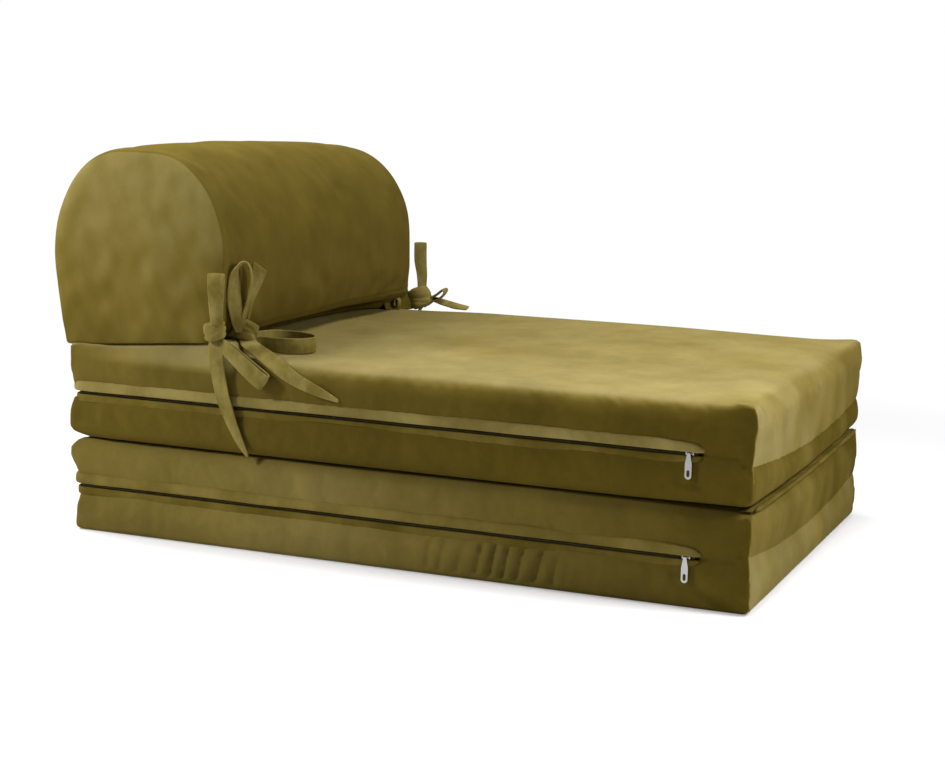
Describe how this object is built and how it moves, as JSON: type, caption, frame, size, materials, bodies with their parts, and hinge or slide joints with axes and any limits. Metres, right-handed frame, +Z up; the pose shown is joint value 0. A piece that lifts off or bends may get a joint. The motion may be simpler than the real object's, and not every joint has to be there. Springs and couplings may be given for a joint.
{
  "type": "chair bed",
  "caption": "Fold-out chair bed: two zipped foam mattresses hinged along the front edge, with a round-topped bolster tied on the back end.",
  "frame": {"origin": "centre of the whole object's footprint, on the floor", "axes": "+Z up, the front end with the sewn hinge faces -Y, the bolster is at +Y, and the side with the zip pulls faces -X"},
  "size_m": [0.6168, 1.037, 0.5459],
  "materials": {
    "velvet": "short pile velvet",
    "end_velvet": "short pile velvet",
    "trim_velvet": "velvet ribbon and trim",
    "foam": "open cell upholstery foam",
    "zip_tape": "woven tape",
    "zip_coil": "nylon coil",
    "zip_metal": "polished die casting"
  },
  "bodies": {
    "upper_mattress": {"upper_foam": "foam", "upper_cover_top": "velvet", "upper_cover_base": "velvet", "upper_zip_tape_high": "zip_tape", "upper_zip_tape_low": "zip_tape", "upper_zip_coil_high": "zip_coil", "upper_zip_coil_low": "zip_coil", "upper_zip_stops": "zip_metal", "upper_zip_flap_high": "trim_velvet", "upper_zip_flap_low": "trim_velvet", "hinge_seam": "trim_velvet", "seat_tie_near": "trim_velvet", "seat_tie_far": "trim_velvet"},
    "upper_zip_slider": {"upper_zip_slider": "zip_metal"},
    "upper_zip_pull": {"upper_zip_pull": "zip_metal"},
    "lower_mattress": {"lower_foam": "foam", "lower_cover_top": "velvet", "lower_cover_base": "velvet", "lower_zip_tape_high": "zip_tape", "lower_zip_tape_low": "zip_tape", "lower_zip_coil_high": "zip_coil", "lower_zip_coil_low": "zip_coil", "lower_zip_stops": "zip_metal", "lower_zip_flap_high": "trim_velvet", "lower_zip_flap_low": "trim_velvet", "hinge_lip_lower": "trim_velvet"},
    "lower_zip_slider": {"lower_zip_slider": "zip_metal"},
    "lower_zip_pull": {"lower_zip_pull": "zip_metal"},
    "bolster": {"bolster_foam": "foam", "bolster_cover_wrap": "velvet", "bolster_cover_base": "velvet", "bolster_end_panel_near": "end_velvet", "bolster_end_panel_far": "end_velvet", "bolster_zip_tape_high": "zip_tape", "bolster_zip_tape_low": "zip_tape", "bolster_zip_coil_high": "zip_coil", "bolster_zip_coil_low": "zip_coil", "bolster_zip_stops": "zip_metal", "bolster_tie_near": "trim_velvet", "bolster_tie_far": "trim_velvet"},
    "bolster_zip_slider": {"bolster_zip_slider": "zip_metal"},
    "bolster_zip_pull": {"bolster_zip_pull": "zip_metal"}
  },
  "joints": [
    {"name": "fold_out", "type": "hinge", "parent": "upper_mattress", "child": "lower_mattress", "pos_m": [0, -0.5145, 0.13515], "axis": [-1, 0, 0], "range_deg": [0, 180]},
    {"name": "bolster_lift", "type": "slide", "parent": "upper_mattress", "child": "bolster", "axis": [0, 0, 1], "range_m": [0, 0.3]},
    {"name": "upper_zip_slide", "type": "slide", "parent": "upper_mattress", "child": "upper_zip_slider", "axis": [0, 1, 0], "range_m": [0, 0.89]},
    {"name": "upper_pull_swing", "type": "hinge", "parent": "upper_zip_slider", "child": "upper_zip_pull", "pos_m": [-0.3003, -0.429, 0.2028], "axis": [0, 1, 0], "range_deg": [0, 90]},
    {"name": "lower_zip_slide", "type": "slide", "parent": "lower_mattress", "child": "lower_zip_slider", "axis": [0, 1, 0], "range_m": [0, 0.89]},
    {"name": "lower_pull_swing", "type": "hinge", "parent": "lower_zip_slider", "child": "lower_zip_pull", "pos_m": [-0.3003, -0.429, 0.0675], "axis": [0, 1, 0], "range_deg": [0, 90]},
    {"name": "bolster_zip_slide", "type": "slide", "parent": "bolster", "child": "bolster_zip_slider", "axis": [1, 0, 0], "range_m": [0, 0.275]},
    {"name": "bolster_pull_swing", "type": "hinge", "parent": "bolster_zip_slider", "child": "bolster_zip_pull", "pos_m": [-0.1375, 0.4988, 0.2836], "axis": [1, 0, 0], "range_deg": [0, 90]}
  ]
}
